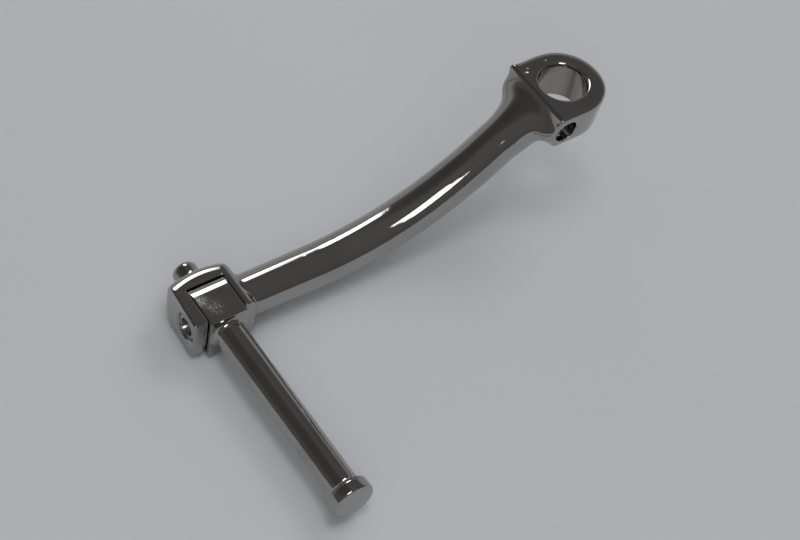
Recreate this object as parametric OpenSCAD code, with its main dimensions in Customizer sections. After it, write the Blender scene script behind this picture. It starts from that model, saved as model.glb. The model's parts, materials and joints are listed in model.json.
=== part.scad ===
// Kickstart lever with a folding pedal.
// One forged arm carries a cotter-clamped boss at one end and a slotted yoke at the other.
// The pedal's tongue turns on a pin in the yoke; a sprung ball behind the slot steadies it.
// Millimetres. Origin: middle of the shaft bore. +Z along the bore, pedal end towards -X,
// folded pedal along -Y, opened pedal along +Z.

/* [Boss] */
// Bore for the kickstart shaft, radius
bore_r = 11.1; // [8:0.05:13]
// Chamfer at both ends of the bore
bore_chamfer = 1.0; // [0.3:0.1:2]
// Height of the boss along the bore
boss_h = 21.2; // [18:0.2:28]
// Half width of the boss, also the radius of its round end
boss_r = 20.0; // [18:0.1:26]
// Distance from the bore axis to the boss's flat end on the arm side
boss_flat = 15.5; // [14:0.1:20]
// Rounding of the boss's upper edge
boss_top_round = 1.8; // [0.5:0.1:4]
// Rounding of the boss's lower edge
boss_low_round = 4.0; // [2:0.5:6]
// Lean of the boss's sides from top to bottom
boss_draft = 1.7; // [0.5:0.1:3]
// Distance from the bore axis to the end of the boss below the step
boss_reach = 22.6; // [20:0.1:28]
// Radius of the hollow step between the boss's top and the arm
step_r = 12.5; // [8:0.1:15]
// Distance from the bore axis to the boss's lower edge at the arm
heel_x = 13; // [10:0.5:16]
// Depth of the boss's nose below its top, where the heel starts to slant back
nose_drop = 12.0; // [11.5:0.1:16]
// Plan rounding of the boss's two corners at the arm
corner_round = 6.5; // [3:0.1:10]
// Bevel along the boss's upper edge on the arm side
boss_bevel = 1.2; // [0.4:0.1:3]

/* [Cotter] */
// Cotter hole radius
cotter_r = 5.55; // [3:0.05:6]
// Distance of the cotter hole from the bore axis, towards the arm
cotter_x = 10.0; // [8:0.1:14]
// Height of the cotter hole above the boss's middle
cotter_z = 0; // [-2:0.1:2]
// Countersink width of the cotter hole
cotter_chamfer = 0.5; // [0.2:0.1:1]

/* [Arm] */
// Radius of the arm's round section
arm_r = 10.3; // [8:0.1:12]
// Radius of the arm where it leaves the yoke
arm_root_r = 9.8; // [8:0.1:10.5]
// Radius of the bend that lifts the arm to the boss
bend_r = 145; // [120:1:200]
// Distance from the bore axis to the start of the bend
bend_start = 128; // [110:1:140]
// Sideways slant of the arm from boss to yoke, degrees
arm_slant = 0.9; // [0:0.1:2]
// Slope of the arm's last run up to the boss, degrees
bend_angle = 37; // [25:0.5:42]
// Distance from the bore axis at which the neck starts to widen
neck_start = 34; // [30:0.5:42]
// Sideways half width of the neck inside the boss
neck_half_w = 13.6; // [12:0.1:18]
// Half height of the neck inside the boss
neck_half_h = 8.0; // [7:0.1:10]

/* [Yoke] */
// Distance from the bore axis to the middle of the yoke
yoke_x = 177.6; // [160:0.1:200]
// Drop from the boss's top to the yoke's top
yoke_drop = 50.85; // [40:0.05:60]
// Height of the yoke
yoke_h = 24.6; // [23.5:0.1:28]
// Front of the cheeks, in front of the bore axis
yoke_front = 8.65; // [5:0.05:10]
// Back of the yoke at its middle, behind the bore axis
yoke_back = 20.5; // [18:0.1:24]
// Plan radius of the yoke's convex back
yoke_back_r = 42; // [30:1:80]
// Thickness of the outer cheek at the front
outer_cheek = 7.0; // [5:0.1:10]
// Narrowing of the outer cheek from front to back
cheek_taper = 2.2; // [0:0.1:3]
// Thickness of the cheek next to the arm
inner_cheek = 6.2; // [5:0.1:10]
// Rounding of the yoke's upper rim, along its back and above the arm
yoke_rim_round = 5.2; // [1:0.1:6]
// Rounding of the yoke's lower rim, along its back and below the arm
yoke_heel_round = 7.5; // [2:0.1:9]
// Rounding of the yoke's other lower edges
yoke_low_round = 3.5; // [1:0.1:6]
// Plan radius of the yoke's back corner above the arm
yoke_corner_r = 8.5; // [7.6:0.1:12]
// Radius of the stub behind the yoke that houses the detent
stub_r = 5.9; // [5:0.1:8]
// Length of the stub behind the yoke's back
stub_l = 8.2; // [6:0.1:14]

/* [Pedal] */
// Width of the pedal's tongue
tongue_w = 18.2; // [14:0.1:20]
// Clearance between the tongue and each cheek
side_gap = 0.3; // [0.2:0.05:0.6]
// Height of the tongue's flat top above the pivot
tongue_top = 10.7; // [9:0.1:12]
// Depth of the tongue's flat bottom below the pivot
tongue_low = 12.3; // [10.5:0.1:13]
// Front of the tongue, in front of the pivot
tongue_front = 10.9; // [10:0.1:14]
// Radius of the tongue's round back about the pivot
tongue_back_r = 14.0; // [12.5:0.1:14.5]
// Distance behind the pivot at which the tongue's top starts to curve down
crown_start = 5.2; // [2:0.1:7]
// Radius of the curve at the back of the tongue's top
crown_r = 12; // [6:0.5:20]
// Clearance between the tongue and the back of the slot
back_gap = 0.3; // [0.2:0.05:0.6]
// Rounding of the tongue's long edges
tongue_edge = 0.6; // [0.3:0.1:1.5]
// Height of the rod's axis above the pivot
rod_rise = 0; // [0:0.1:2]
// Radius of the pedal rod
rod_r = 7.2; // [5:0.1:8]
// Distance from the pivot to the pedal's outer end
pedal_l = 109.7; // [90:0.1:140]
// Radius of the head at the end of the rod
head_r = 9.8; // [8:0.1:14]
// Thickness of the head
head_t = 6.0; // [3:0.1:10]
// Rounding of the head's edges
head_round = 1.2; // [0.4:0.1:2]
// Radius of the fillets at the rod's two ends
rod_fillet = 2.4; // [1:0.1:3]
// Pedal opening angle shown, degrees
pedal_open = 0; // [0:1:90]

/* [Pivot] */
// Distance of the pivot behind the bore axis
pivot_y = 0; // [0:0.1:2]
// Pivot pin radius
pin_r = 6.35; // [5:0.05:7]
// Running clearance of the tongue on the pin, radial
pin_clear = 0.05; // [0.03:0.01:0.1]
// Depth of the pin's end below the yoke's outer face
pin_sink = 1.0; // [0.2:0.1:2]
// Reach of the pin into the arm past the inner cheek
pin_reach = 6.0; // [2:0.5:12]
// Radius of the blind hole in the pin's outer end
pin_eye_r = 3.2; // [1.5:0.1:4]

/* [Detent] */
// Ball radius
ball_r = 3.175; // [2:0.005:3.5]
// Radial clearance of ball and spring in their bore
ball_clear = 0.05; // [0.03:0.01:0.1]
// Gap left between the ball and the tongue's round end
ball_gap = 0.1; // [0.05:0.05:0.2]
// Depth of the dimple that faces the ball when the pedal is folded
dimple = 0.8; // [0.3:0.1:1.2]
// Spring wire radius
wire_r = 0.35; // [0.25:0.05:0.5]
// Spring coils
coils = 5; // [3:1:8]

/* [Hidden] */
$fn = 96;
eps = 0.01;
over = 1;
top_z = boss_h / 2;
boss_lean = atan(boss_draft / boss_h);
cotter_face = boss_r - boss_draft * (top_z - cotter_z) / boss_h;
round_steps = 8;
yoke_top_z = top_z - yoke_drop;
pivot_z = yoke_top_z - tongue_top;
slot_w = tongue_w + 2 * side_gap;
slot_rim_y = pivot_y + tongue_top + back_gap;
pocket_r = tongue_back_r + back_gap;
pocket_back = pivot_y + pocket_r;
yoke_left = -slot_w / 2 - outer_cheek;
yoke_right = slot_w / 2 + inner_cheek;
yoke_disc_y = yoke_back - yoke_back_r;
yoke_corner_in = 1;
corner_x = yoke_right - yoke_corner_r;
corner_y = yoke_back - yoke_corner_r - yoke_corner_in;
stub_end = yoke_back + stub_l;
stub_overlap = 2;
stub_root_y = pocket_back + stub_overlap;
dome_share = 0.48;
stub_dome = stub_r * dome_share;
stub_wall = 2.6;
detent_bore_r = ball_r + ball_clear;
ball_y = pivot_y + tongue_back_r + ball_gap + ball_r;
detent_end_y = stub_end - stub_wall;
coil_gap = 0.1;
spring_gap = 0.05;
coil_r = ball_r - wire_r - coil_gap;
spring_seat = sqrt(pow(ball_r + wire_r, 2) - coil_r * coil_r);
spring_start_y = ball_y + spring_seat + 2 * spring_gap;
spring_l = detent_end_y - spring_start_y - wire_r - spring_gap;
rod_z = pivot_z + rod_rise;
arm_z = rod_z;
neck_end = boss_flat + over;
flare_power = 1.7;
bend_steps = 16;
neck_steps = 8;
arm_points = 44;
wire_points = 8;
turn_steps = 16;
pin_chamfer = 0.6;
cheek_face = yoke_left + cheek_taper * (yoke_front + pivot_y) / (yoke_front + yoke_back);
mouth_depth = cheek_face - yoke_left + over + pin_sink;
pin_left = cheek_face + pin_sink;
pin_right = yoke_right + pin_reach;
eye_depth = 7;

// Points along an arc about c from angle a to angle b.
function arc(c, r, a, b, n) = [for (i = [0:n]) c + r * [cos(a + (b - a) * i / n), sin(a + (b - a) * i / n)]];

// Centre of a round that touches the boss's leaning side, at height z.
function round_centre(z, r) = [boss_r - boss_draft * (top_z - z) / boss_h - r / cos(boss_lean), z];

// Outer edge of the boss across its width: round below, leaning side, small round on top.
boss_edge = concat(
    arc(round_centre(boss_low_round - top_z, boss_low_round), boss_low_round, -90, -boss_lean, round_steps),
    arc(round_centre(top_z - boss_top_round, boss_top_round), boss_top_round, -boss_lean, 90, round_steps)
);

// The same points mirrored in the vertical axis, in reverse order.
function other_side(points) = [for (i = [len(points) - 1:-1:0]) [-points[i][0], points[i][1]]];

// Side outline of the boss's end at the arm: bevelled edge, hollow step, blunt nose, slanting heel.
module boss_end_side() {
    slant = (boss_reach - heel_x) / (boss_h - nose_drop);
    difference() {
        polygon([
            [over, -top_z - over],
            [-heel_x + slant * over, -top_z - over],
            [-boss_reach, top_z - nose_drop],
            [-boss_reach, top_z + over],
            [over, top_z + over]
        ]);
        translate([-boss_flat - step_r, top_z])
            circle(r = step_r);
        polygon([
            [-boss_reach - over, top_z - boss_bevel],
            [-boss_flat, top_z - boss_bevel],
            [-boss_flat + boss_bevel + 2 * over, top_z + 2 * over],
            [-boss_reach - over, top_z + 2 * over]
        ]);
    }
}

// Plan of the boss's end at the arm, both corners rounded.
module boss_end_plan() {
    half = boss_r + eps;
    translate([-boss_reach + corner_round, -half])
        square([boss_reach - corner_round + over, 2 * half]);
    translate([-boss_reach - eps, -half + corner_round])
        square([boss_reach + over, 2 * half - 2 * corner_round]);
    for (side = [-1, 1])
        translate([-boss_reach + corner_round, side * (half - corner_round)])
            circle(r = corner_round);
}

// End of the boss at the arm, with leaning sides.
module boss_end() {
    intersection() {
        rotate([90, 0, -90])
            linear_extrude(boss_reach + over)
                polygon(concat(boss_edge, other_side(boss_edge)));
        translate([0, 2 * boss_r, 0])
            rotate([90, 0, 0])
                linear_extrude(4 * boss_r)
                    boss_end_side();
        translate([0, 0, -boss_h])
            linear_extrude(2 * boss_h)
                boss_end_plan();
    }
}

// Boss: round end about the bore, straight end towards the arm.
module boss_body() {
    rotate([0, 0, -90])
        rotate_extrude(angle = 180)
            polygon(concat([[0, -top_z]], boss_edge, [[0, top_z]]));
    boss_end();
}

// Point of the arm's centre line at a bend angle: distance along X and height.
function bend_x(a) = -bend_start + bend_r * sin(a);
function bend_z(a) = arm_z + bend_r * (1 - cos(a));

// Share of the neck's widening at step s of 0..1, slow at the arm and quick at the boss.
function flare(s) = pow(s, flare_power);

// Arm sections as [x, z, tilt, half width, half height].
arm_sections = [
    [-yoke_x + slot_w / 2 + over, arm_z, 0, arm_root_r, arm_root_r],
    for (i = [0:bend_steps])
        let (a = bend_angle * i / bend_steps)
        [bend_x(a), bend_z(a), a, arm_r, arm_r],
    for (i = [0:neck_steps])
        let (s = i / neck_steps,
             x = -neck_start + (neck_start - neck_end) * s)
        [
            x,
            bend_z(bend_angle) + (x - bend_x(bend_angle)) * tan(bend_angle),
            bend_angle,
            arm_r + (neck_half_w - arm_r) * flare(s),
            arm_r + (neck_half_h - arm_r) * flare(s)
        ]
];

// One arm section as a ring of points.
function arm_ring(q) = [
    for (j = [0:arm_points - 1])
        let (t = -360 * j / arm_points,
             side = q[3] * cos(t),
             up = q[4] * sin(t))
        [q[0] - up * sin(q[2]), side, q[1] + up * cos(q[2])]
];

// Closed skin through a row of rings that all have the same number of points.
module skin(rings) {
    n = len(rings[0]);
    last = len(rings) - 1;
    polyhedron(
        points = [for (ring = rings) each ring],
        faces = concat(
            [[for (j = [n - 1:-1:0]) j]],
            [
                for (i = [0:last - 1])
                    for (j = [0:n - 1])
                        let (k = (j + 1) % n, a = i * n, b = a + n)
                        each [[a + j, a + k, b + j], [a + k, b + k, b + j]]
            ],
            [[for (j = [0:n - 1]) last * n + j]]
        ),
        convexity = 6
    );
}

// Arm: straight from the yoke, one bend up to the boss, widening into the neck.
module arm_run() {
    skin([for (q = arm_sections) arm_ring(q)]);
}

// Half outline of a disc whose rim is rounded above and below as the yoke's back is.
module rim_profile(r) {
    intersection() {
        square([r, yoke_h]);
        union() {
            translate([0, yoke_heel_round])
                square([r, yoke_h - yoke_heel_round - yoke_rim_round]);
            square([r - yoke_heel_round, yoke_heel_round + eps]);
            translate([0, yoke_h - yoke_rim_round - eps])
                square([r - yoke_rim_round, yoke_rim_round + eps]);
            translate([r - yoke_heel_round, yoke_heel_round])
                circle(r = yoke_heel_round);
            translate([r - yoke_rim_round, yoke_h - yoke_rim_round])
                circle(r = yoke_rim_round);
        }
    }
}

// Plan of the yoke: straight front and sides, the back corner above the arm rounded.
module yoke_plan() {
    polygon([
        [yoke_left, -yoke_front],
        [yoke_right, -yoke_front],
        [yoke_right, corner_y],
        [corner_x, corner_y],
        [corner_x, yoke_back],
        [yoke_left + cheek_taper, yoke_back]
    ]);
    translate([corner_x, corner_y])
        circle(r = yoke_corner_r);
}

// Side outline of the yoke: the lower front edge rounded.
module yoke_side() {
    depth = yoke_front + yoke_back;
    translate([-yoke_front, yoke_low_round])
        square([depth, yoke_h - yoke_low_round]);
    translate([-yoke_front + yoke_low_round, 0])
        square([depth - yoke_low_round, yoke_h]);
    translate([-yoke_front + yoke_low_round, yoke_low_round])
        circle(r = yoke_low_round);
}

// Front outline of the yoke: the outer lower edge and both edges above and below the arm rounded.
module yoke_face() {
    translate([yoke_left, yoke_low_round])
        square([yoke_low_round, yoke_h - yoke_low_round]);
    translate([yoke_left + yoke_low_round, 0])
        square([yoke_right - yoke_left - yoke_low_round - yoke_heel_round, yoke_h]);
    translate([yoke_left + yoke_low_round, yoke_low_round])
        circle(r = yoke_low_round);
    translate([0, yoke_heel_round])
        square([yoke_right, yoke_h - yoke_heel_round - yoke_rim_round]);
    translate([0, yoke_heel_round])
        square([yoke_right - yoke_rim_round, yoke_h - yoke_heel_round]);
    translate([yoke_right - yoke_heel_round, yoke_heel_round])
        circle(r = yoke_heel_round);
    translate([yoke_right - yoke_rim_round, yoke_h - yoke_rim_round])
        circle(r = yoke_rim_round);
}

// Solid yoke with the domed stub behind it.
module yoke_body() {
    translate([0, 0, yoke_top_z - yoke_h])
        intersection() {
            translate([0, yoke_disc_y, 0])
                rotate_extrude()
                    rim_profile(yoke_back_r);
            linear_extrude(yoke_h)
                yoke_plan();
            translate([yoke_left, 0, 0])
                rotate([90, 0, 90])
                    linear_extrude(yoke_right - yoke_left)
                        yoke_side();
            translate([0, yoke_back, 0])
                rotate([90, 0, 0])
                    linear_extrude(yoke_front + yoke_back)
                        yoke_face();
        }
    translate([0, stub_root_y, pivot_z])
        rotate([-90, 0, 0])
            rotate_extrude()
                stub_half_profile();
}

// Half outline of the stub: straight wall, rounded end with a small flat.
module stub_half_profile() {
    l = stub_end - stub_root_y;
    square([stub_r - stub_dome, l]);
    square([stub_r, l - stub_dome]);
    translate([stub_r - stub_dome, l - stub_dome])
        circle(r = stub_dome);
}

// Side outline of the slot about the pivot: straight rim above, round pocket, straight wall below.
module slot_side() {
    top = tongue_top + over;
    low = yoke_h - tongue_top + over;
    translate([-yoke_front - pivot_y - over, -low])
        square([yoke_front + slot_rim_y + over, low + top]);
    translate([0, -low])
        square([pocket_r, low]);
    intersection() {
        circle(r = pocket_r);
        square([pocket_r, tongue_top]);
    }
}

// Slot for the tongue, open at the front, top and bottom.
module yoke_slot() {
    translate([-slot_w / 2, pivot_y, pivot_z])
        rotate([90, 0, 90])
            linear_extrude(slot_w)
                slot_side();
}

// Hole for the pivot pin with a countersunk mouth in the outer cheek.
module pin_hole() {
    translate([yoke_left - over, pivot_y, pivot_z])
        rotate([0, 90, 0]) {
            cylinder(r = pin_r, h = pin_right - yoke_left + over);
            cylinder(r1 = pin_r + mouth_depth, r2 = pin_r, h = mouth_depth);
        }
}

// Blind bore behind the slot for the detent spring and ball.
module detent_bore() {
    translate([0, pocket_back - over, pivot_z])
        rotate([-90, 0, 0])
            cylinder(r = detent_bore_r, h = detent_end_y - pocket_back + over);
}

// Shaft bore, chamfered at both ends.
module shaft_bore() {
    cylinder(r = bore_r, h = boss_h + 2 * over, center = true);
    for (side = [0, 1])
        mirror([0, 0, side])
            translate([0, 0, top_z - bore_chamfer])
                cylinder(r1 = bore_r, r2 = bore_r + bore_chamfer + eps, h = bore_chamfer + eps);
}

// Cotter hole that cuts into the side of the shaft bore.
module cotter_hole() {
    translate([-cotter_x, 0, cotter_z])
        rotate([90, 0, 0]) {
            cylinder(r = cotter_r, h = 2 * boss_r + 2 * over, center = true);
            for (side = [0, 1])
                mirror([0, 0, side])
                    translate([0, 0, cotter_face - cotter_chamfer])
                        cylinder(r1 = cotter_r, r2 = cotter_r + 2 * cotter_chamfer, h = 2 * cotter_chamfer);
        }
}

// The forged lever in one piece: boss, neck, arm, yoke and stub.
module lever_arm() {
    color("silver")
        difference() {
            union() {
                boss_body();
                rotate([0, 0, -arm_slant])
                    arm_run();
                translate([-yoke_x, 0, 0])
                    yoke_body();
            }
            shaft_bore();
            cotter_hole();
            translate([-yoke_x, 0, 0]) {
                yoke_slot();
                pin_hole();
                detent_bore();
            }
        }
}

// Side outline of the tongue about the pivot: flat top with a crowned back edge, round back that
// turns in the slot's pocket, square lower corner.
module tongue_side() {
    translate([-tongue_front, -tongue_low])
        square([tongue_front + eps, tongue_low + tongue_top]);
    translate([0, -tongue_low])
        square([tongue_back_r, tongue_low]);
    intersection() {
        circle(r = tongue_back_r);
        square([tongue_back_r, tongue_top]);
        union() {
            square([crown_start, tongue_top]);
            translate([crown_start, tongue_top - crown_r])
                circle(r = crown_r);
        }
    }
}

// Half outline of rod and head along the pedal, with a fillet at each end of the rod.
module rod_half_profile() {
    reach = pedal_l - tongue_front;
    square([rod_r, reach]);
    difference() {
        square([rod_r + rod_fillet, rod_fillet]);
        translate([rod_r + rod_fillet, rod_fillet])
            circle(r = rod_fillet);
    }
    translate([0, reach - head_t])
        square([head_r - head_round, head_t]);
    translate([0, reach - head_t + head_round])
        square([head_r, head_t - 2 * head_round]);
    for (h = [reach - head_t + head_round, reach - head_round])
        translate([head_r - head_round, h])
            circle(r = head_round);
    difference() {
        translate([0, reach - head_t - rod_fillet])
            square([rod_r + rod_fillet, rod_fillet + eps]);
        translate([rod_r + rod_fillet, reach - head_t - rod_fillet])
            circle(r = rod_fillet);
    }
}

// Pedal in its own axes: pivot at the origin, rod along -Y.
module pedal_body() {
    difference() {
        union() {
            translate([-tongue_w / 2, 0, 0])
                rotate([90, 0, 90])
                    linear_extrude(tongue_w)
                        tongue_side();
            translate([0, -tongue_front + eps, rod_rise])
                rotate([90, 0, 0])
                    rotate_extrude()
                        rod_half_profile();
        }
        rotate([0, 90, 0])
            cylinder(r = pin_r + pin_clear, h = tongue_w + 2 * over, center = true);
        for (side = [0, 1])
            mirror([side, 0, 0])
                translate([tongue_w / 2, -tongue_front, tongue_top])
                    rotate([0, 45, 0])
                        cube([tongue_edge, 6 * tongue_front, tongue_edge], center = true);
        translate([0, tongue_back_r + ball_r - dimple, 0])
            sphere(r = ball_r + ball_clear);
    }
}

// Folding pedal: tongue, rod and head in one piece.
module pedal() {
    color("gainsboro")
        translate([-yoke_x, pivot_y, pivot_z])
            rotate([-pedal_open, 0, 0])
                pedal_body();
}

// Pivot pin pressed into both cheeks, with a blind eye in its outer end.
module pivot_pin() {
    color("darkgray")
        translate([-yoke_x, pivot_y, pivot_z])
            rotate([0, 90, 0])
                difference() {
                    translate([0, 0, pin_left])
                        rotate_extrude()
                            pin_half_profile();
                    translate([0, 0, pin_left - over])
                        cylinder(r = pin_eye_r, h = eye_depth + over);
                }
}

// Half outline of the pin with a chamfer at each end.
module pin_half_profile() {
    l = pin_right - pin_left;
    polygon([
        [0, 0],
        [pin_r - pin_chamfer, 0],
        [pin_r, pin_chamfer],
        [pin_r, l - pin_chamfer],
        [pin_r - pin_chamfer, l],
        [0, l]
    ]);
}

// Detent ball, just clear of the tongue's round end.
module detent_ball() {
    color("lightsteelblue")
        translate([-yoke_x, ball_y, pivot_z])
            sphere(r = ball_r);
}

// One ring of points around the spring's wire, at turn angle a and height h.
function wire_ring(a, h) = [
    for (j = [0:wire_points - 1])
        let (t = -360 * j / wire_points,
             r = coil_r + wire_r * cos(t))
        [r * cos(a), r * sin(a), h + wire_r * sin(t)]
];

// Compression spring between the ball and the bottom of its bore.
module detent_spring() {
    steps = turn_steps * coils;
    color("slategray")
        translate([-yoke_x, spring_start_y, pivot_z])
            rotate([-90, 0, 0])
                skin([for (i = [0:steps]) wire_ring(360 * coils * i / steps, spring_l * i / steps)]);
}

lever_arm();
pedal();
pivot_pin();
detent_ball();
detent_spring();
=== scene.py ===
"""Kickstart lever with a folding pedal: polished forging, pedal, pivot pin and sprung detent."""
import json
import logging
import math
from dataclasses import dataclass, field
from enum import Enum
from typing import Any, Union

import bpy
from mathutils import Matrix, Quaternion, Vector
from mathutils.bvhtree import BVHTree

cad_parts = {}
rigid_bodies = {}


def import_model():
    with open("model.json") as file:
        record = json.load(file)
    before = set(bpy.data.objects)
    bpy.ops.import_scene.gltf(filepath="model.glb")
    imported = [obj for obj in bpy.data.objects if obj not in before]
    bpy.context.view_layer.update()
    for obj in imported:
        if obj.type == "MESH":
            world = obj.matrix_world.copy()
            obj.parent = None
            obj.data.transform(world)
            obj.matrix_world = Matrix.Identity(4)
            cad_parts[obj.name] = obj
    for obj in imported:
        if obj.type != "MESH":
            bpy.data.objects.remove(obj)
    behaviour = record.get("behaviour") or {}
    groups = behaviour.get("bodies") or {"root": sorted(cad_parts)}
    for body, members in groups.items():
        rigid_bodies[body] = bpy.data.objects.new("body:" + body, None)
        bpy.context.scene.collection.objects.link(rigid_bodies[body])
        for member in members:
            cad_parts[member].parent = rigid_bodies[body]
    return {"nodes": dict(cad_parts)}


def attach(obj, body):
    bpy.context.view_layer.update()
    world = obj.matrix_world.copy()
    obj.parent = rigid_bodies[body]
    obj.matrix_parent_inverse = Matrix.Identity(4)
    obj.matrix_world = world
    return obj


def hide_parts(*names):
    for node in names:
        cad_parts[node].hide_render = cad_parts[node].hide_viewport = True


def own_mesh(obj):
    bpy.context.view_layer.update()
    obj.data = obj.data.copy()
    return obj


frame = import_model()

LOG = logging.getLogger("kickstart")
MM = 0.001
WELD = 0.002 * MM
Point = tuple[float, float, float]
Colour = tuple[float, float, float]
DAYLIGHT: Colour = (0.985, 0.99, 1.0)


class Body(Enum):
    """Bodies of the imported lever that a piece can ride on."""

    LEVER = "lever"
    PEDAL = "pedal"


class Slot(Enum):
    """Material slots of the record."""

    FORGING = "polished_forging"
    PEDAL = "polished_pedal"
    PIN = "pin_steel"
    BALL = "ball_steel"
    SPRING = "spring_steel"


class Use(Enum):
    """What a light shows on: mirrored in the metal, or shining on the table."""

    METAL = "metal"
    TABLE = "table"


class Wire:
    """One output socket of a shader graph, with arithmetic that adds Math nodes."""

    def __init__(self, graph: "Graph", socket: bpy.types.NodeSocket) -> None:
        """Keeps the socket and the graph it belongs to.

        Args:
            graph: The graph that new nodes go into.
            socket: The output socket.
        """
        self.graph = graph
        self.socket = socket

    def __add__(self, other: "Value") -> "Wire":
        """Sum.

        Args:
            other: The second value.

        Returns:
            The sum.
        """
        return self.graph.math("ADD", self, other)

    def __radd__(self, other: "Value") -> "Wire":
        """Sum, reflected.

        Args:
            other: The first value.

        Returns:
            The sum.
        """
        return self.graph.math("ADD", other, self)

    def __sub__(self, other: "Value") -> "Wire":
        """Difference.

        Args:
            other: The second value.

        Returns:
            This value less the other.
        """
        return self.graph.math("SUBTRACT", self, other)

    def __rsub__(self, other: "Value") -> "Wire":
        """Difference, reflected.

        Args:
            other: The first value.

        Returns:
            The other value less this one.
        """
        return self.graph.math("SUBTRACT", other, self)

    def __mul__(self, other: "Value") -> "Wire":
        """Product.

        Args:
            other: The second value.

        Returns:
            The product.
        """
        return self.graph.math("MULTIPLY", self, other)

    def __rmul__(self, other: "Value") -> "Wire":
        """Product, reflected.

        Args:
            other: The first value.

        Returns:
            The product.
        """
        return self.graph.math("MULTIPLY", other, self)

    def least(self, other: "Value") -> "Wire":
        """The smaller of two values.

        Args:
            other: The second value.

        Returns:
            The smaller value.
        """
        return self.graph.math("MINIMUM", self, other)


Value = Union[Wire, float]


class Graph:
    """The node tree of one material, one light or the room, filled by expressions."""

    def __init__(self, owner: Union[bpy.types.Material, bpy.types.World, bpy.types.Light]) -> None:
        """Empties the owner's node tree.

        Args:
            owner: The material, world or light that the nodes belong to.
        """
        owner.use_nodes = True
        self.owner = owner
        self.tree = owner.node_tree
        self.tree.nodes.clear()

    @classmethod
    def finish(cls, name: str) -> "Graph":
        """The empty graph of a new material.

        Args:
            name: The material's name.

        Returns:
            The graph.
        """
        return cls(bpy.data.materials.new(name))

    def node(self, kind: str, settings: dict[str, Any], inputs: dict[Any, Any]) -> bpy.types.Node:
        """Adds any node.

        Args:
            kind: The node's type name.
            settings: Properties set before the sockets; "stops" fills a colour ramp.
            inputs: Values or wires by socket name or number.

        Returns:
            The new node.
        """
        made = self.tree.nodes.new(kind)
        for key, value in settings.items():
            if key == "stops":
                self._fill_ramp(made.color_ramp, value)
            else:
                setattr(made, key, value)
        for key, value in inputs.items():
            if isinstance(value, Wire):
                self.tree.links.new(value.socket, made.inputs[key])
            else:
                made.inputs[key].default_value = value
        return made

    @staticmethod
    def _fill_ramp(ramp: bpy.types.ColorRamp, stops: list[tuple[float, Colour]]) -> None:
        """Sets a ramp's stops.

        Args:
            ramp: The colour ramp.
            stops: Places and colours, in order.
        """
        while len(ramp.elements) < len(stops):
            ramp.elements.new(1.0)
        for element, (place, colour) in zip(ramp.elements, stops):
            element.position = place
            element.color = (*colour, 1.0)

    def wire(self, node: bpy.types.Node, output: Union[str, int] = 0) -> Wire:
        """An output of a node as a wire.

        Args:
            node: The node.
            output: The output's name or number.

        Returns:
            The wire.
        """
        return Wire(self, node.outputs[output])

    def math(self, operation: str, a: Value, b: Value) -> Wire:
        """A Math node of two values.

        Args:
            operation: The node's operation.
            a: First value.
            b: Second value.

        Returns:
            The result.
        """
        return self.wire(self.node("ShaderNodeMath", {"operation": operation}, {0: a, 1: b}))

    def place(self) -> Wire:
        """The surface point in the object's own coordinates.

        Returns:
            The coordinates.
        """
        return self.wire(self.node("ShaderNodeTexCoord", {}, {}), "Object")

    def mapped(self, place: Wire, turn: Point = (0, 0, 0), stretch: Point = (1, 1, 1)) -> Wire:
        """Coordinates turned and stretched.

        Args:
            place: The coordinates.
            turn: Euler turn in radians.
            stretch: Factor along each axis.

        Returns:
            The mapped coordinates.
        """
        inputs = {"Vector": place, "Rotation": turn, "Scale": stretch}
        return self.wire(self.node("ShaderNodeMapping", {}, inputs))

    def noise(self, place: Wire, scale: float, detail: float = 2.0, rough: float = 0.5) -> Wire:
        """Cloudy noise between 0 and 1.

        Args:
            place: The coordinates.
            scale: Clouds per metre.
            detail: Octaves.
            rough: Share of the finer octaves.

        Returns:
            The noise value.
        """
        inputs = {"Vector": place, "Scale": scale, "Detail": detail, "Roughness": rough}
        return self.wire(self.node("ShaderNodeTexNoise", {}, inputs), 0)

    def between(self, value: Wire, low: float, high: float) -> Wire:
        """Smooth step of a value from 0 at low to 1 at high.

        Args:
            value: The value.
            low: Where the step is 0.
            high: Where the step is 1.

        Returns:
            The step.
        """
        inputs = {"Value": value, "From Min": low, "From Max": high, "To Min": 0.0, "To Max": 1.0}
        settings = {"interpolation_type": "SMOOTHSTEP", "clamp": True}
        return self.wire(self.node("ShaderNodeMapRange", settings, inputs))

    def distance(self, place: Wire, centre: Point) -> Wire:
        """Distance of the surface point from a fixed point.

        Args:
            place: The coordinates.
            centre: The fixed point.

        Returns:
            The distance.
        """
        made = self.node("ShaderNodeVectorMath", {"operation": "DISTANCE"}, {0: place, 1: centre})
        return self.wire(made, "Value")

    def along(self, place: Wire, direction: Point) -> Wire:
        """How far a point lies along a direction.

        Args:
            place: The coordinates.
            direction: The direction.

        Returns:
            The length along it.
        """
        made = self.node("ShaderNodeVectorMath", {"operation": "DOT_PRODUCT"}, {0: place, 1: direction})
        return self.wire(made, "Value")

    def blend(self, share: Wire, first: Colour, second: Colour) -> Wire:
        """A colour between two colours.

        Args:
            share: Share of the second colour.
            first: First colour.
            second: Second colour.

        Returns:
            The colour.
        """
        inputs = {"Factor": share, 6: (*first, 1.0), 7: (*second, 1.0)}
        return self.wire(self.node("ShaderNodeMix", {"data_type": "RGBA"}, inputs), 2)

    def soft_edges(self, radius: float) -> Wire:
        """Normals that run round the edges with a small radius.

        Args:
            radius: The radius in metres.

        Returns:
            The normals.
        """
        return self.wire(self.node("ShaderNodeBevel", {"samples": 8}, {"Radius": radius}))

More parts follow.
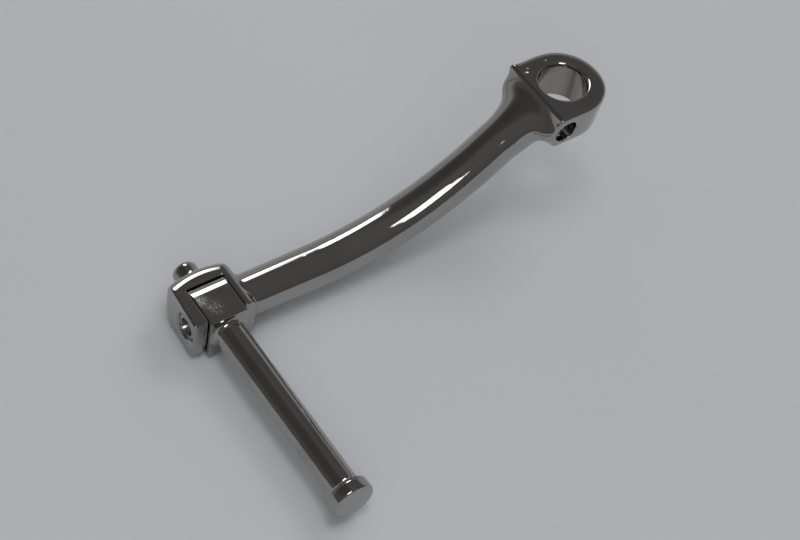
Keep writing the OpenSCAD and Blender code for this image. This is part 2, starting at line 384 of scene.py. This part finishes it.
    def bump(self, height: Wire, depth: float, normal: Wire | None = None) -> Wire:
        """Normals of a height pattern.

        Args:
            height: The pattern, 0 to 1.
            depth: Metres between 0 and 1 of the pattern.
            normal: Normals the pattern lies on.

        Returns:
            The bumped normals.
        """
        inputs: dict[Any, Any] = {"Height": height, "Strength": 1.0, "Distance": depth}
        if normal is not None:
            inputs["Normal"] = normal
        return self.wire(self.node("ShaderNodeBump", {}, inputs))

    def surface(self, inputs: dict[str, Any]) -> bpy.types.Material:
        """Ends the graph in a Principled shader.

        Args:
            inputs: Values or wires for the shader's sockets.

        Returns:
            The finished material.
        """
        shader = self.node("ShaderNodeBsdfPrincipled", {}, inputs)
        self.node("ShaderNodeOutputMaterial", {}, {"Surface": self.wire(shader)})
        return self.owner


@dataclass(frozen=True)
class Spot:
    """A round mark on a surface: a casting pit or a scuffed patch."""

    centre: Point
    radius: float


@dataclass(frozen=True)
class MirrorPolish:
    """Buffed chrome-bright metal with faint waves, buffing lines, pits, scuffs and a duller bore darkened
    with painted shade.
    """

    name: str
    colour: Colour = (0.41, 0.405, 0.395)
    dull_and_shade_colour: Colour = (0.33, 0.315, 0.295)
    edge_radius: float = 0.6 * MM
    roughness: float = 0.02
    line_stretch: Point = (0.04, 1.0, 1.0)
    cloud_scale: float = 45.0
    wave_scale: float = 80.0
    wave_depth: float = 0.02 * MM
    line_scale: float = 1600.0
    line_depth: float = 0.0006 * MM
    fine_scale: float = 420.0
    speck_scale: float = 1700.0
    speck_turn: float = 0.6
    speck_stretch: Point = (1.0, 0.45, 1.0)
    speck_depth: float = 0.006 * MM
    haze_rough: float = 0.018
    line_rough: float = 0.012
    rubbed_rough: float = 0.065
    speck_rough: float = 0.11
    pit_rough: float = 0.4
    pit_depth: float = 0.25 * MM
    pits: tuple[Spot, ...] = ()
    scuffs: tuple[Spot, ...] = ()
    # Shaft bore whose wall is machined, duller and rougher, and darkened with painted shade.
    shaded_bore: Spot | None = None

    def material(self) -> bpy.types.Material:
        """Builds the material.

        Returns:
            The polished metal.
        """
        g = Graph.finish(self.name)
        place = g.place()
        clouds = g.noise(place, self.cloud_scale, 3.0)
        waves = g.noise(place, self.wave_scale, 1.0)
        lines = g.noise(g.mapped(place, stretch=self.line_stretch), self.line_scale, 2.0)
        fine = g.noise(place, self.fine_scale, 4.0, 0.6)
        haze = g.between(clouds, 0.45, 0.75)
        rough = self.roughness + self.haze_rough * haze + self.line_rough * g.between(lines, 0.55, 0.8)
        dull_and_bore_shade = 0.5 * haze
        normal = g.bump(waves, self.wave_depth, g.soft_edges(self.edge_radius))
        normal = g.bump(lines, self.line_depth, normal)
        drawn = g.mapped(place, turn=(0, 0, self.speck_turn), stretch=self.speck_stretch)
        specks = g.noise(drawn, self.speck_scale, 4.0, 0.65)
        for scuff in self.scuffs:
            away = g.distance(place, scuff.centre)
            rubbed = g.between(away + 0.5 * scuff.radius * fine, 2.0 * scuff.radius, 0.4 * scuff.radius)
            patch = g.between(away + 0.9 * scuff.radius * fine, 1.6 * scuff.radius, 0.5 * scuff.radius)
            patch = patch * g.between(specks, 0.46, 0.64)
            rough = rough + self.rubbed_rough * rubbed + self.speck_rough * patch
            normal = g.bump(specks * patch, self.speck_depth, normal)
        for pit in self.pits:
            hole = g.between(g.distance(place, pit.centre) + 0.5 * pit.radius * fine,
                             1.25 * pit.radius, 0.35 * pit.radius)
            rough = rough + self.pit_rough * hole
            dull_and_bore_shade = dull_and_bore_shade + 0.8 * hole
            normal = g.bump(1.0 - hole, self.pit_depth, normal)
        # Inside the bore: rougher machined metal, and a darker base colour that is painted shade of the deep
        # recess.
        if self.shaded_bore is not None:
            flat = g.mapped(place, stretch=(1, 1, 0))
            inside = g.between(g.distance(flat, self.shaded_bore.centre),
                               self.shaded_bore.radius + 0.5 * MM, self.shaded_bore.radius + 0.1 * MM)
            rough = rough + inside * (0.12 + 0.2 * haze)
            dull_and_bore_shade = dull_and_bore_shade + inside
        # Base colour darkens with random haze, in the pits, and in the bore, where the darkening is painted
        # shade.
        return g.surface({
            "Base Color": g.blend(dull_and_bore_shade.least(1.0), self.colour, self.dull_and_shade_colour),
            "Metallic": 1.0,
            "Roughness": rough.least(0.7),
            "Normal": normal,
        })


@dataclass(frozen=True)
class TurnedSteel:
    """Steel with fine turning rings about an axis along X."""

    name: str
    axis_y: float
    axis_z: float
    colour: Colour = (0.42, 0.415, 0.405)
    stain_colour: Colour = (0.30, 0.295, 0.285)
    ring_pitch: float = 0.25 * MM
    ring_depth: float = 0.004 * MM
    edge_radius: float = 0.3 * MM
    roughness: float = 0.14

    def material(self) -> bpy.types.Material:
        """Builds the material.

        Returns:
            The turned steel.
        """
        g = Graph.finish(self.name)
        place = g.place()
        flat = g.mapped(place, stretch=(0, 1, 1))
        away = g.distance(flat, (0.0, self.axis_y, self.axis_z))
        rings = g.math("SINE", away * (2 * math.pi / self.ring_pitch), 0.0) * 0.5 + 0.5
        stain = g.between(g.noise(place, 260.0, 3.0), 0.4, 0.7)
        normal = g.bump(rings, self.ring_depth, g.soft_edges(self.edge_radius))
        return g.surface({
            "Base Color": g.blend(stain, self.colour, self.stain_colour),
            "Metallic": 1.0,
            "Roughness": self.roughness + 0.12 * stain + 0.05 * rings,
            "Normal": normal,
        })


@dataclass(frozen=True)
class DrawnWire:
    """Grey drawn spring wire or a hard ball, with light handling marks."""

    name: str
    colour: Colour
    roughness: float

    def material(self) -> bpy.types.Material:
        """Builds the material.

        Returns:
            The steel.
        """
        g = Graph.finish(self.name)
        place = g.place()
        marks = g.noise(place, 900.0, 3.0)
        darker = tuple(0.75 * c for c in self.colour)
        return g.surface({
            "Base Color": g.blend(g.between(marks, 0.35, 0.7), self.colour, darker),
            "Metallic": 1.0,
            "Roughness": self.roughness + 0.1 * marks,
            "Normal": g.bump(marks, 0.003 * MM),
        })


@dataclass(frozen=True)
class PaleTable:
    """Matt pale board under the lever."""

    name: str = "pale_table"
    colour: Colour = (0.70, 0.715, 0.745)
    shade: Colour = (0.675, 0.69, 0.72)

    def material(self) -> bpy.types.Material:
        """Builds the material.

        Returns:
            The matt board.
        """
        g = Graph.finish(self.name)
        place = g.place()
        cloud = g.noise(place, 2.2, 3.0)
        grain = g.noise(place, 900.0, 2.0)
        return g.surface({
            "Base Color": g.blend(g.between(cloud, 0.3, 0.7), self.colour, self.shade),
            "Roughness": 0.62 + 0.1 * grain,
            "Normal": g.bump(grain, 0.01 * MM),
        })


@dataclass(frozen=True)
class Hole:
    """A hole along one axis (0 to 2) whose rim keeps its shape."""

    axis: int
    centre: Point
    radius: float

    def away(self, place: Vector) -> float:
        """Distance of a point outside the hole's rim.

        Args:
            place: The point.

        Returns:
            The distance, negative inside.
        """
        off = [place[i] - self.centre[i] for i in range(3) if i != self.axis]
        return math.hypot(*off) - self.radius


SHAFT = Hole(2, (0.0, 0.0, 0.0), 12.6 * MM)
COTTER = Hole(1, (-0.010, 0.0, 0.0), 6.3 * MM)
PIVOT = Hole(0, (0.0, 0.0, -0.05095), 8.6 * MM)


@dataclass(frozen=True)
class Zone:
    """A box in which a skin is smoothed, fading at its borders and clear of some holes."""

    low: Point
    high: Point
    low_fade: Point
    high_fade: Point
    rounds: int
    holes: tuple[Hole, ...] = ()

    def share(self, place: Vector) -> float:
        """Share of the smoothing at a point, 0 at the border and 1 deep inside.

        Args:
            place: The point.

        Returns:
            The share.
        """
        parts = [(c - a) / f for c, a, f in zip(place, self.low, self.low_fade)]
        parts += [(b - c) / f for c, b, f in zip(place, self.high, self.high_fade)]
        parts += [hole.away(place) / MM for hole in self.holes]
        return max(0.0, min(1.0, *parts))


class Bench:
    """Operators used on every piece."""

    @staticmethod
    def clear() -> None:
        """Deselects everything."""
        for thing in bpy.context.view_layer.objects:
            thing.select_set(False)

    @staticmethod
    def activate(thing: bpy.types.Object) -> None:
        """Makes one object the only selected and active one.

        Args:
            thing: The object.
        """
        Bench.clear()
        thing.select_set(True)
        bpy.context.view_layer.objects.active = thing

    @staticmethod
    def cast(node: str, name: str) -> bpy.types.Object:
        """Copies a CAD node's mesh into a new merged object.

        Args:
            node: The CAD node.
            name: The new object's name.

        Returns:
            The new object, at the origin.
        """
        mesh = frame["nodes"][node].data.copy()
        mesh.name = name
        mesh.materials.clear()
        made = bpy.data.objects.new(name, mesh)
        bpy.context.scene.collection.objects.link(made)
        Bench.activate(made)
        if mesh.has_custom_normals:
            bpy.ops.mesh.customdata_custom_splitnormals_clear()
        bpy.ops.object.mode_set(mode="EDIT")
        bpy.ops.mesh.select_all(action="SELECT")
        bpy.ops.mesh.remove_doubles(threshold=WELD)
        bpy.ops.object.mode_set(mode="OBJECT")
        return made

    @staticmethod
    def apply(piece: bpy.types.Object, kind: str, settings: dict[str, Any]) -> None:
        """Adds a modifier and applies it.

        Args:
            piece: The object.
            kind: The modifier's type.
            settings: Its properties.
        """
        Bench.activate(piece)
        step = piece.modifiers.new(kind.lower(), kind)
        for key, value in settings.items():
            setattr(step, key, value)
        bpy.ops.object.modifier_apply(modifier=step.name)

    @staticmethod
    def melt(piece: bpy.types.Object, zone: Zone) -> None:
        """Flows the skin inside a zone into one smooth sweep between the zone's borders.

        Args:
            piece: The object.
            zone: Where, how softly and how much.
        """
        made = piece.vertex_groups.new(name="zone")
        for vertex in piece.data.vertices:
            share = zone.share(vertex.co)
            if share > 0.0:
                made.add([vertex.index], share, "REPLACE")
        Bench.apply(piece, "SMOOTH", {"factor": 0.5, "iterations": zone.rounds, "vertex_group": made.name})
        piece.vertex_groups.clear()

    @staticmethod
    def forge(piece: bpy.types.Object, grain: float, rounds: int) -> None:
        """Turns a CAD copy into an even skin with buffed edges.

        Args:
            piece: The object.
            grain: Size of the skin's faces in metres.
            rounds: Smoothing rounds all over.
        """
        Bench.apply(piece, "REMESH", {"mode": "VOXEL", "voxel_size": grain, "use_smooth_shade": True})
        Bench.apply(piece, "SMOOTH", {"factor": 0.5, "iterations": rounds})

    @staticmethod
    def tree(nodes: tuple[str, ...]) -> BVHTree:
        """Gathers CAD nodes into one search tree.

        Args:
            nodes: The CAD nodes.

        Returns:
            The tree of all their faces.
        """
        points: list[Vector] = []
        faces: list[list[int]] = []
        for node in nodes:
            mesh = frame["nodes"][node].data
            faces += [[len(points) + i for i in face.vertices] for face in mesh.polygons]
            points += [vertex.co.copy() for vertex in mesh.vertices]
        return BVHTree.FromPolygons(points, faces)

    @staticmethod
    def smooth(piece: bpy.types.Object, degrees: float) -> None:
        """Shades a piece smooth except at edges sharper than an angle.

        Args:
            piece: The object.
            degrees: The angle.
        """
        Bench.activate(piece)
        bpy.ops.object.shade_smooth_by_angle(angle=math.radians(degrees))

    @staticmethod
    def dress(piece: bpy.types.Object, material: bpy.types.Material, slot: Slot) -> None:
        """Gives a piece its finish.

        Args:
            piece: The object.
            material: Its material.
            slot: The record's slot; not used.
        """
        piece.data.materials.clear()
        piece.data.materials.append(material)


@dataclass
class LeverForging:
    """The forged lever: boss, neck, arm, yoke and stub in one piece."""

    node: str = "lever_arm"
    grain: float = 0.55 * MM
    buffing: int = 4
    core_sides: int = 96
    core_radius: float = 10.3 * MM
    core_slope: float = 37.0
    core_start: Point = (-0.0430, 0.00066, -0.02345)
    core_length: float = 17.0 * MM
    flare_length: float = 21.0 * MM
    flare_width: float = 1.5
    faced: tuple[str, ...] = ("pedal", "detent_ball", "detent_spring")
    faced_reach: float = 0.9 * MM
    round_end: float = 19.0 * MM
    round_fade: float = 9.0 * MM
    round_rise: float = 4.0 * MM
    round_stop_x: float = -20.5 * MM
    arm_buffing: Zone = Zone(
        (-0.165, -0.02, -0.07), (-0.018, 0.02, 0.02),
        (3.0 * MM, MM, MM), (8.0 * MM, MM, MM), 30)
    zones: tuple[Zone, ...] = (
        # Hollow of the neck.
        Zone((-0.036, -0.0195, -0.012), (-0.0146, 0.0195, 0.0094),
             (8.0 * MM, 2.0 * MM, 8.0 * MM), (0.8 * MM, 2.0 * MM, 0.8 * MM), 580, (COTTER,)),
        # Flanks of the neck.
        Zone((-0.034, -0.022, -0.030), (-0.0146, 0.022, 0.0080),
             (6.0 * MM, MM, MM), (MM, MM, 2.0 * MM), 30, (COTTER,)),
        # Lower edge of the boss.
        Zone((-0.030, -0.024, -0.013), (0.024, 0.024, -0.0035),
             (MM, MM, MM), (MM, MM, 3.0 * MM), 40, (COTTER, SHAFT)),
        # Upper rim at the boss's back.
        Zone((-0.0135, -0.012, 0.0040), (0.024, 0.024, 0.014),
             (2.0 * MM, 12.0 * MM, MM), (MM, MM, MM), 120, (SHAFT,)),
        # Heel of the yoke.
        Zone((-0.199, -0.012, -0.068), (-0.162, 0.024, -0.056),
             (MM, MM, MM), (MM, MM, 3.0 * MM), 40, (PIVOT,)),
        # Outer cheek of the yoke.
        Zone((-0.199, -0.012, -0.068), (-0.188, 0.024, -0.0415),
             (MM, MM, MM), (2.0 * MM, MM, MM), 30, (PIVOT,)),
    )
    # The shaft bore gets rougher, darker metal: partly its machined finish, partly painted shade.
    shaded_bore: Spot = Spot((0.0, 0.0, 0.0), 11.1 * MM)
    pits: tuple[Spot, ...] = (
        Spot((-0.01211, 0.01240, 0.0106), 1.15 * MM),
        Spot((0.00034, 0.01448, 0.0106), 0.7 * MM),
        Spot((-0.0102, 0.0141, 0.0106), 0.75 * MM),
    )
    piece: bpy.types.Object = field(init=False)

    def build(self) -> None:
        """Makes the smooth forging from the CAD solid."""
        self.piece = Bench.cast(self.node, "lever_forging")
        self._core()
        Bench.forge(self.piece, self.grain, self.buffing)
        for zone in self.zones:
            Bench.melt(self.piece, zone)
        self._true_up()
        Bench.melt(self.piece, self.arm_buffing)
        self._refit()
        LOG.info("forged skin of %d faces", len(self.piece.data.polygons))

    def _core(self) -> None:
        """Runs the upper half of the arm's round on to the boss, widening, and joins it to the forging."""
        run = self.run()
        middle = Vector(self.core_start) + run * (self.core_length / 2)
        Bench.clear()
        bpy.ops.mesh.primitive_cylinder_add(vertices=self.core_sides, radius=self.core_radius,
                                            depth=self.core_length, location=middle,
                                            rotation=(0.0, math.acos(run.z), 0.0))
        core = bpy.context.object
        bpy.ops.object.transform_apply(location=True, rotation=True, scale=True)
        end = middle + run * (self.core_length / 2)
        for face in core.data.polygons:
            face.select = (Vector(face.center) - end).length < MM
        for kind in (core.data.vertices, core.data.edges):
            for item in kind:
                item.select = False
        bpy.ops.object.mode_set(mode="EDIT")
        bpy.ops.mesh.select_mode(type="FACE")
        bpy.ops.mesh.extrude_region_move(TRANSFORM_OT_translate={"value": run * self.flare_length})
        bpy.ops.transform.resize(value=(1.0, self.flare_width, 1.0))
        bpy.ops.mesh.select_all(action="SELECT")
        bpy.ops.mesh.bisect(plane_co=middle, plane_no=(-run.z, 0.0, run.x), clear_inner=True, use_fill=True)
        bpy.ops.object.mode_set(mode="OBJECT")
        Bench.activate(self.piece)
        core.select_set(True)
        bpy.ops.object.join()

    def run(self) -> Vector:
        """The direction of the arm's last run up to the boss.

        Returns:
            The unit vector.
        """
        a = math.radians(self.core_slope)
        return Vector((math.cos(a), 0.0, math.sin(a)))

    def _refit(self) -> None:
        """Sets the walls that face the pedal and the detent back on the solid's own surface."""
        solid = Bench.tree((self.node,))
        faced = Bench.tree(self.faced)
        for vertex in self.piece.data.vertices:
            if faced.find_nearest(vertex.co, self.faced_reach)[0] is not None:
                vertex.co = solid.find_nearest(vertex.co)[0]

    def _true_up(self) -> None:
        """Brings the arm's last run back to its round section, fading out at the boss."""
        run, start = self.run(), Vector(self.core_start)
        for vertex in self.piece.data.vertices:
            off = vertex.co - start
            along = off.dot(run)
            if not 0.0 < along < self.round_end or vertex.co.x > self.round_stop_x:
                continue
            share = min(1.0, along / self.round_rise, (self.round_end - along) / self.round_fade)
            side = off - run * along
            vertex.co += side.normalized() * (self.core_radius - side.length) * share

    def dress(self) -> None:
        """Polishes the forging."""
        finish = MirrorPolish("forging_polish", pits=self.pits, shaded_bore=self.shaded_bore)
        Bench.dress(self.piece, finish.material(), Slot.FORGING)
        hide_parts(self.node)
        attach(self.piece, Body.LEVER.value)


@dataclass
class FoldingPedal:
    """The pedal: square tongue, rod and head in one piece."""

    node: str = "pedal"
    smooth_angle: float = 28.0
    scuffs: tuple[Spot, ...] = (
        Spot((-0.1805, -0.0035, -0.04025), 6.0 * MM),
        Spot((-0.1852, 0.0025, -0.04025), 3.5 * MM),
    )
    piece: bpy.types.Object = field(init=False)

    def build(self) -> None:
        """Makes the smooth pedal from the CAD solid."""
        self.piece = Bench.cast(self.node, "folding_pedal")
        Bench.smooth(self.piece, self.smooth_angle)

    def dress(self) -> None:
        """Polishes the pedal and scuffs its tongue."""
        finish = MirrorPolish("pedal_polish", line_stretch=(1.0, 0.04, 1.0), scuffs=self.scuffs)
        Bench.dress(self.piece, finish.material(), Slot.PEDAL)
        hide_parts(self.node)
        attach(self.piece, Body.PEDAL.value)


@dataclass
class PivotPin:
    """The pin through yoke and tongue, with its drilled outer end."""

    node: str = "pivot_pin"
    axis_y: float = 0.0
    axis_z: float = -50.95 * MM
    eye_radius: float = 3.2 * MM
    eye_depth: float = 9.0 * MM
    eye_mouth: float = 4.3 * MM
    dish_radius: float = 2.6 * MM
    dish_depth: float = 5.5 * MM
    face_radius: float = 5.5 * MM
    mouth_depth: float = 0.5 * MM
    slack: float = 0.1 * MM
    smooth_angle: float = 30.0
    piece: bpy.types.Object = field(init=False)

    def build(self) -> None:
        """Makes the smooth pin from the CAD solid, with a dished eye and a small face."""
        self.piece = Bench.cast(self.node, "turned_pin")
        mesh = self.piece.data
        face_x = min(v.co.x for v in mesh.vertices)
        for vertex in mesh.vertices:
            y, z = vertex.co.y - self.axis_y, vertex.co.z - self.axis_z
            radius, depth = math.hypot(y, z), vertex.co.x - face_x
            if depth > self.eye_depth or radius < self.slack:
                continue
            if radius < self.eye_radius + 2 * self.slack:
                at_mouth = depth < self.mouth_depth
                grown = self.eye_mouth if at_mouth else self.dish_radius
                vertex.co.x = face_x + (0.0 if at_mouth else self.dish_depth)
            elif depth < self.slack:
                grown = self.face_radius
            else:
                continue
            vertex.co.y = self.axis_y + y * grown / radius
            vertex.co.z = self.axis_z + z * grown / radius
        Bench.smooth(self.piece, self.smooth_angle)

    def dress(self) -> None:
        """Gives the pin its turned finish."""
        finish = TurnedSteel("pin_turned", self.axis_y, self.axis_z)
        Bench.dress(self.piece, finish.material(), Slot.PIN)
        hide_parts(self.node)
        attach(self.piece, Body.LEVER.value)


@dataclass
class Detent:
    """The ball, kept as a CAD node, and the coil spring that the ball presses together."""

    ball_node: str = "detent_ball"
    spring_node: str = "detent_spring"
    joint: str = "ball_press"
    travel: float = 0.8 * MM
    fixed_end_y: float = 26.1 * MM
    smooth_angle: float = 40.0
    ball: DrawnWire = DrawnWire("ball_polish", (0.55, 0.55, 0.56), 0.06)
    spring: DrawnWire = DrawnWire("spring_wire", (0.36, 0.36, 0.37), 0.3)
    piece: bpy.types.Object = field(init=False)

    def build(self) -> None:
        """Makes the smooth spring from the CAD solid."""
        self.piece = Bench.cast(self.spring_node, "coil_spring")
        Bench.smooth(self.piece, self.smooth_angle)

    def dress(self) -> None:
        """Gives both pieces their steel, and gives the spring its own mesh."""
        Bench.dress(frame["nodes"][self.ball_node], self.ball.material(), Slot.BALL)
        Bench.dress(self.piece, self.spring.material(), Slot.SPRING)
        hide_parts(self.spring_node)
        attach(self.piece, Body.LEVER.value)
        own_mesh(self.piece)


@dataclass(frozen=True)
class Softbox:
    """A rectangular light that points at the lever; degrees, metres and watts."""

    name: str
    azimuth: float
    elevation: float
    distance: float
    width: float
    height: float
    roll: float
    watts: float
    colour: Colour
    use: Use


@dataclass
class Studio:
    """Table, lights, room and camera."""

    floor_z: float = -64.9 * MM
    floor_size: float = 5.0
    aim: Point = (-0.10, -0.02, -0.0444)
    eye: Point = (-0.4863, -0.4253, 0.6425)
    right: Point = (0.8173, -0.5599, 0.1359)
    up: Point = (0.3718, 0.6927, 0.6180)
    forward: Point = (0.4402, 0.4545, -0.7744)
    lens: float = 89.75
    sensor: float = 36.0
    clip: tuple[float, float] = (0.01, 50.0)
    room: tuple[tuple[float, float], ...] = (
        (0.0, 0.40), (0.48, 0.38), (0.52, 0.26), (0.56, 0.13), (0.65, 0.11), (1.0, 0.14))
    gloom: tuple[float, float] = (135.0, 50.0)
    gloom_edge: tuple[float, float] = (0.82, 0.98)
    gloom_depth: float = 0.40
    tint: Colour = (1.0, 0.975, 0.945)
    sweep_azimuth: float = 52.0
    sweep_tilt: float = 26.0
    window_edge: float = 0.22
    boxes: tuple[Softbox, ...] = (
        Softbox("window_front", -108.0, 45.6, 2.2, 0.90, 0.95, 8.0, 16.2, (1.0, 0.99, 0.975), Use.METAL),
        Softbox("window_back", 74.5, 41.0, 2.2, 0.94, 0.86, 0.0, 17.1, (0.97, 0.985, 1.0), Use.METAL),
        Softbox("sky_panel", -130.0, 84.0, 1.8, 0.6, 0.6, 0.0, 5.5, DAYLIGHT, Use.TABLE),
        Softbox("ceiling_glow", 0.0, 88.0, 1.8, 3.0, 3.0, 0.0, 8.0, DAYLIGHT, Use.TABLE),
        Softbox("front_glow", -130.0, 38.0, 2.2, 1.8, 1.8, 0.0, 8.0, DAYLIGHT, Use.TABLE),
        Softbox("back_glow", 15.0, 48.0, 2.2, 0.9, 0.9, 0.0, 6.5, DAYLIGHT, Use.TABLE),
    )

    @staticmethod
    def direction(azimuth: float, elevation: float) -> Vector:
        """The unit vector towards an azimuth and elevation in degrees.

        Args:
            azimuth: Turn from +X towards +Y.
            elevation: Rise above the table.

        Returns:
            The unit vector.
        """
        a, e = math.radians(azimuth), math.radians(elevation)
        return Vector((math.cos(e) * math.cos(a), math.cos(e) * math.sin(a), math.sin(e)))

    def table(self) -> None:
        """Lays the pale table under the lever."""
        Bench.clear()
        bpy.ops.mesh.primitive_plane_add(size=self.floor_size, location=(0, 0, 0))
        board = bpy.context.object
        board.name = "pale_table"
        bpy.ops.object.mode_set(mode="EDIT")
        bpy.ops.mesh.select_all(action="SELECT")
        bpy.ops.transform.translate(value=(self.aim[0], self.aim[1], self.floor_z))
        bpy.ops.object.mode_set(mode="OBJECT")
        board.data.materials.append(PaleTable().material())

    def lights(self) -> None:
        """Hangs the softboxes."""
        for box in self.boxes:
            out = self.direction(box.azimuth, box.elevation)
            lamp = bpy.data.lights.new(box.name, "AREA")
            lamp.shape = "RECTANGLE"
            lamp.size, lamp.size_y = box.width, box.height
            lamp.energy = box.watts
            lamp.color = box.colour
            if box.use is Use.METAL:
                self._soften(lamp)
            stand = bpy.data.objects.new(box.name, lamp)
            stand.location = Vector(self.aim) + out * box.distance
            turn = out.to_track_quat("Z", "Y") @ Quaternion((0, 0, 1), math.radians(box.roll))
            stand.rotation_euler = turn.to_euler()
            stand.visible_glossy = box.use is not Use.TABLE
            stand.visible_diffuse = box.use is not Use.METAL
            bpy.context.scene.collection.objects.link(stand)

    def _soften(self, lamp: bpy.types.Light) -> None:
        """Lets a window fade towards its edges.

        Args:
            lamp: The light.
        """
        g = Graph(lamp)
        across = g.wire(g.node("ShaderNodeNewGeometry", {}, {}), "Parametric")
        cell = g.node("ShaderNodeSeparateXYZ", {}, {0: across})
        fades = [g.between(g.math("ABSOLUTE", g.wire(cell, axis) - 0.5, 0.0), 0.5, 0.5 - self.window_edge)
                 for axis in ("X", "Y")]
        glow = g.node("ShaderNodeEmission", {}, {"Color": fades[0] * fades[1]})
        g.node("ShaderNodeOutputLight", {}, {"Surface": g.wire(glow)})

    def walls(self) -> None:
        """Makes the dim room: a pale sweep rising behind the table, dark above, darkest at one side."""
        a, tilt = math.radians(self.sweep_azimuth), math.radians(self.sweep_tilt)
        upright = (-math.sin(tilt) * math.cos(a), -math.sin(tilt) * math.sin(a), math.cos(tilt))
        g = Graph(bpy.data.worlds.new("dim_room"))
        out = self.direction(*self.gloom)
        view = g.wire(g.node("ShaderNodeTexCoord", {}, {}), "Generated")
        stops = [(place, tuple(grey * t for t in self.tint)) for place, grey in self.room]
        tone = g.wire(g.node("ShaderNodeValToRGB", {"stops": stops}, {0: 0.5 + 0.5 * g.along(view, upright)}))
        light = 1.0 - self.gloom_depth * g.between(g.along(view, out), *self.gloom_edge)
        back = g.node("ShaderNodeBackground", {}, {"Color": tone, "Strength": light})
        g.node("ShaderNodeOutputWorld", {}, {"Surface": g.wire(back)})
        bpy.context.scene.world = g.owner

    def camera(self) -> None:
        """Stands the camera at the photograph's angle."""
        lens = bpy.data.cameras.new("main_camera")
        lens.sensor_fit = "HORIZONTAL"
        lens.sensor_width = self.sensor
        lens.lens = self.lens
        lens.clip_start, lens.clip_end = self.clip
        tripod = bpy.data.objects.new("main_camera", lens)
        away = -Vector(self.forward)
        turn = Matrix((self.right, self.up, away)).transposed().to_4x4()
        tripod.matrix_world = Matrix.Translation(self.eye) @ turn
        bpy.context.scene.collection.objects.link(tripod)
        bpy.context.scene.camera = tripod
        bpy.context.scene.view_settings.view_transform = "Standard"

    def build(self) -> None:
        """Sets up the whole studio."""
        self.camera()
        self.walls()
        self.lights()
        self.table()


def main() -> None:
    """Builds the studio and the lever piece by piece."""
    logging.basicConfig(level=logging.INFO)
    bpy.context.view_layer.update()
    Studio().build()
    for part in (LeverForging(), FoldingPedal(), PivotPin(), Detent()):
        part.build()
        part.dress()
        LOG.info("built %s", part.piece.name)
    Bench.clear()


if __name__ == "__main__":
    main()
